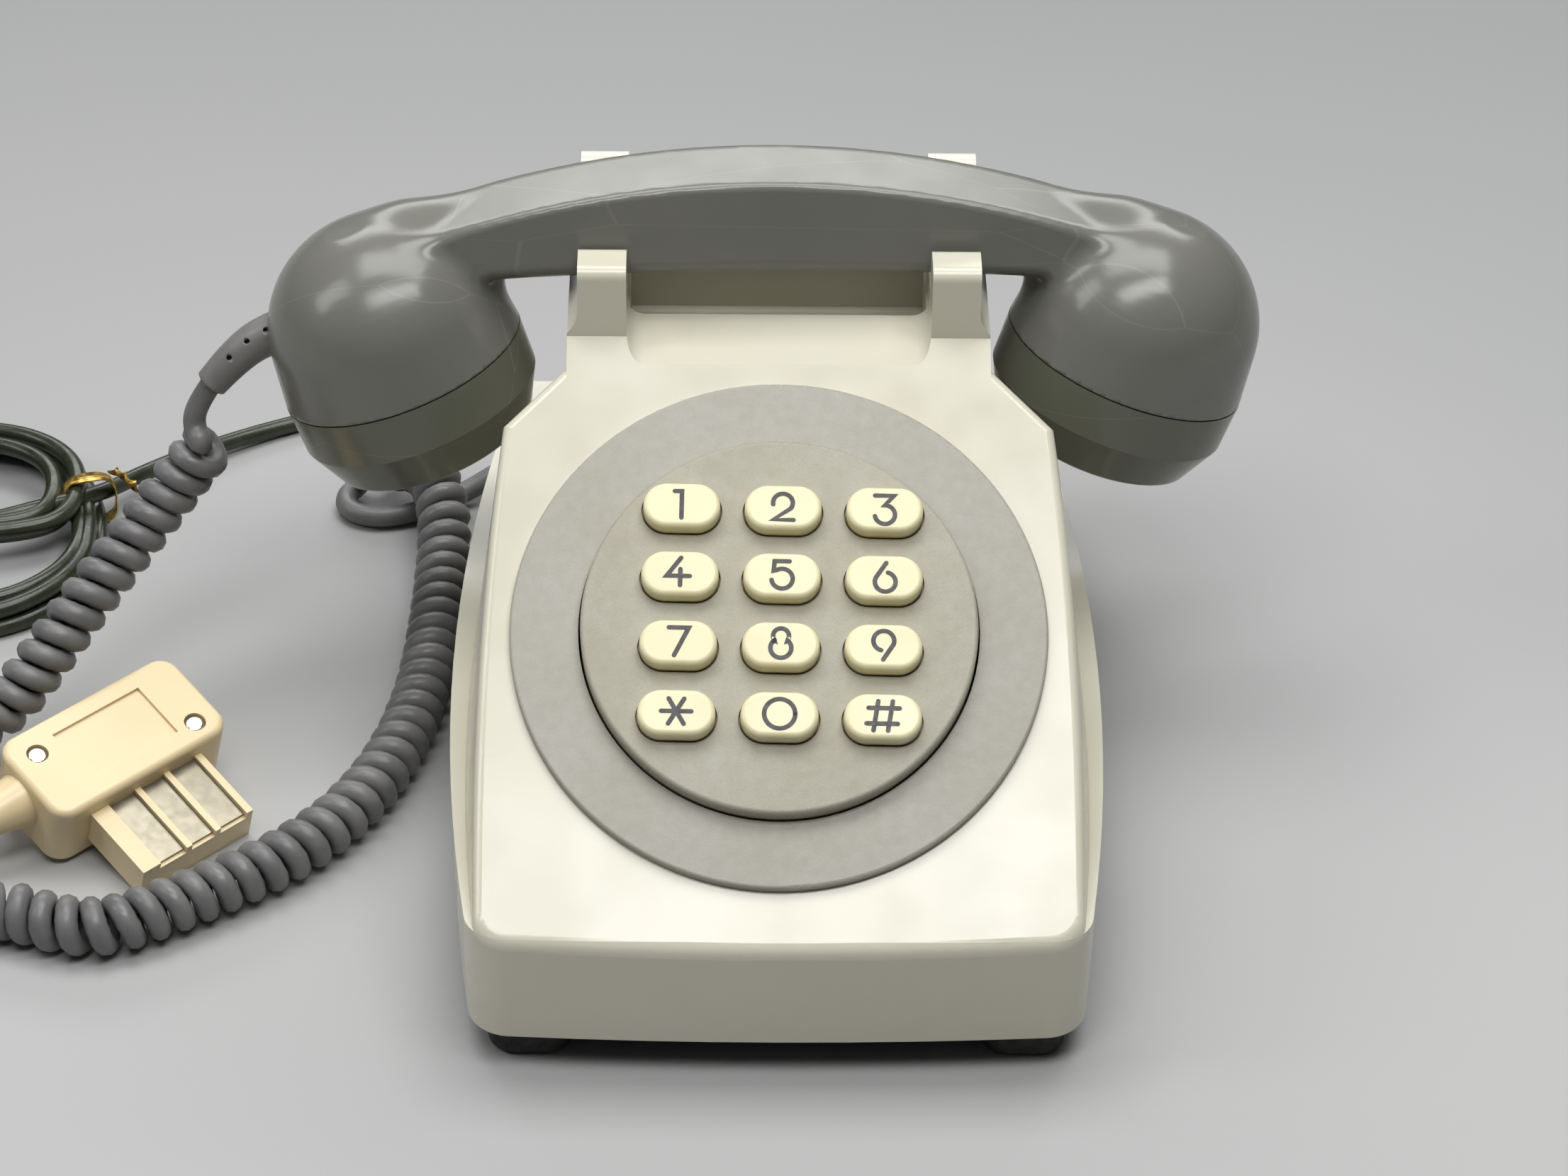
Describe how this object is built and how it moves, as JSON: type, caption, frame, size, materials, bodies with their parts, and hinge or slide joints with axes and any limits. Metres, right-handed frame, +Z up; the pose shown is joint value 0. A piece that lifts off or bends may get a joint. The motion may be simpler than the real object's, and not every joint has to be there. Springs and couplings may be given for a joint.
{
  "type": "corded desk telephone",
  "caption": "Push-button desk telephone: sloping casing with round keypad, lift-off arched handset in a four-ear cradle, curly cord, line cord hank and wide plug.",
  "frame": {"origin": "bottom centre of the telephone's bounding box with the handset resting and cords left out, on the table under the feet", "axes": "+X to the right along the handset as seen from the keys, +Y to the back, +Z up"},
  "size_m": [0.3661, 0.253, 0.1408],
  "materials": {
    "casing_plastic": "glossy moulded ivory-grey ABS",
    "base_plastic": "matte black moulding",
    "foot_rubber": "matte black rubber",
    "ring_plastic": "fine textured grey",
    "faceplate_plastic": "fine textured warm grey",
    "frame_plastic": "matte dark grey",
    "key_plastic": "satin cream, two-shot digits",
    "board_laminate": "brown phenolic laminate",
    "spring_metal": "bright spring contact",
    "steel": "zinc-plated steel",
    "gong_metal": "turned bell metal",
    "copper_winding": "lacquered winding",
    "capacitor_can": "satin can",
    "terminal_plastic": "dark phenolic moulding",
    "handset_plastic": "glossy moulded mid grey ABS",
    "capsule_metal": "stamped capsule",
    "cord_grey": "satin grey cord sheath",
    "cord_olive": "dark olive cord sheath",
    "plug_plastic": "yellowed beige moulding",
    "contact_metal": "nickel silver strip",
    "switch_plastic": "ivory moulding"
  },
  "bodies": {
    "base": {"base_lead": "cord_grey", "base_plate": "base_plastic", "board_parts": "frame_plastic", "board_posts": "steel", "capacitor": "capacitor_can", "case_screws": "steel", "casing": "casing_plastic", "contact_domes": "spring_metal", "curly_cord": "cord_grey", "dial_ring": "ring_plastic", "foot_front_left": "foot_rubber", "foot_front_right": "foot_rubber", "foot_rear_left": "foot_rubber", "foot_rear_right": "foot_rubber", "gong_left": "gong_metal", "gong_right": "gong_metal", "handset_grommet": "cord_grey", "handset_lead": "cord_grey", "hook_contacts": "spring_metal", "hook_switch_frame": "steel", "induction_coil": "copper_winding", "keypad_board": "board_laminate", "keypad_faceplate": "faceplate_plastic", "keypad_frame": "frame_plastic", "line_cord": "cord_olive", "line_grommet": "cord_olive", "line_hank": "cord_olive", "plug_body": "plug_plastic", "plug_cable": "cord_olive", "plug_contacts": "contact_metal", "plug_insert": "plug_plastic", "plug_screws": "steel", "ringer_coil": "copper_winding", "terminal_block": "terminal_plastic", "terminal_screws": "steel", "transmission_board": "board_laminate"},
    "handset": {"handset_shell": "handset_plastic", "mouthpiece_cap": "handset_plastic", "earpiece_cap": "handset_plastic", "microphone_capsule": "capsule_metal", "receiver_capsule": "capsule_metal", "microphone_ring": "frame_plastic", "receiver_ring": "frame_plastic", "handset_boot": "cord_grey"},
    "hook_plungers": {"hook_plungers": "switch_plastic"},
    "clapper": {"clapper": "steel"},
    "key_0": {"key_0": "key_plastic"},
    "key_1": {"key_1": "key_plastic"},
    "key_2": {"key_2": "key_plastic"},
    "key_3": {"key_3": "key_plastic"},
    "key_4": {"key_4": "key_plastic"},
    "key_5": {"key_5": "key_plastic"},
    "key_6": {"key_6": "key_plastic"},
    "key_7": {"key_7": "key_plastic"},
    "key_8": {"key_8": "key_plastic"},
    "key_9": {"key_9": "key_plastic"},
    "key_hash": {"key_hash": "key_plastic"},
    "key_star": {"key_star": "key_plastic"}
  },
  "joints": [
    {"name": "handset_lift", "type": "slide", "parent": "base", "child": "handset", "axis": [0, 0, 1], "range_m": [0, 0.08]},
    {"name": "hook_plunger_rise", "type": "slide", "parent": "base", "child": "hook_plungers", "axis": [0, 0, 1], "range_m": [0, 0.005]},
    {"name": "clapper_swing", "type": "hinge", "parent": "base", "child": "clapper", "pos_m": [0.003, -0.0079, 0.0235], "axis": [0, 0, 1], "range_deg": [-2.4, 2.4], "stiffness_Nm_per_rad": 0.01},
    {"name": "key_0_press", "type": "slide", "parent": "base", "child": "key_0", "axis": [0, 0.5, -0.866], "range_m": [0, 0.0022], "stiffness_N_per_m": 300},
    {"name": "key_1_press", "type": "slide", "parent": "base", "child": "key_1", "axis": [0, 0.5, -0.866], "range_m": [0, 0.0022], "stiffness_N_per_m": 300},
    {"name": "key_2_press", "type": "slide", "parent": "base", "child": "key_2", "axis": [0, 0.5, -0.866], "range_m": [0, 0.0022], "stiffness_N_per_m": 300},
    {"name": "key_3_press", "type": "slide", "parent": "base", "child": "key_3", "axis": [0, 0.5, -0.866], "range_m": [0, 0.0022], "stiffness_N_per_m": 300},
    {"name": "key_4_press", "type": "slide", "parent": "base", "child": "key_4", "axis": [0, 0.5, -0.866], "range_m": [0, 0.0022], "stiffness_N_per_m": 300},
    {"name": "key_5_press", "type": "slide", "parent": "base", "child": "key_5", "axis": [0, 0.5, -0.866], "range_m": [0, 0.0022], "stiffness_N_per_m": 300},
    {"name": "key_6_press", "type": "slide", "parent": "base", "child": "key_6", "axis": [0, 0.5, -0.866], "range_m": [0, 0.0022], "stiffness_N_per_m": 300},
    {"name": "key_7_press", "type": "slide", "parent": "base", "child": "key_7", "axis": [0, 0.5, -0.866], "range_m": [0, 0.0022], "stiffness_N_per_m": 300},
    {"name": "key_8_press", "type": "slide", "parent": "base", "child": "key_8", "axis": [0, 0.5, -0.866], "range_m": [0, 0.0022], "stiffness_N_per_m": 300},
    {"name": "key_9_press", "type": "slide", "parent": "base", "child": "key_9", "axis": [0, 0.5, -0.866], "range_m": [0, 0.0022], "stiffness_N_per_m": 300},
    {"name": "key_hash_press", "type": "slide", "parent": "base", "child": "key_hash", "axis": [0, 0.5, -0.866], "range_m": [0, 0.0022], "stiffness_N_per_m": 300},
    {"name": "key_star_press", "type": "slide", "parent": "base", "child": "key_star", "axis": [0, 0.5, -0.866], "range_m": [0, 0.0022], "stiffness_N_per_m": 300}
  ],
  "couplings": [
    {"joint": "hook_plunger_rise", "follows": "handset_lift", "ratio": 0.0625}
  ]
}
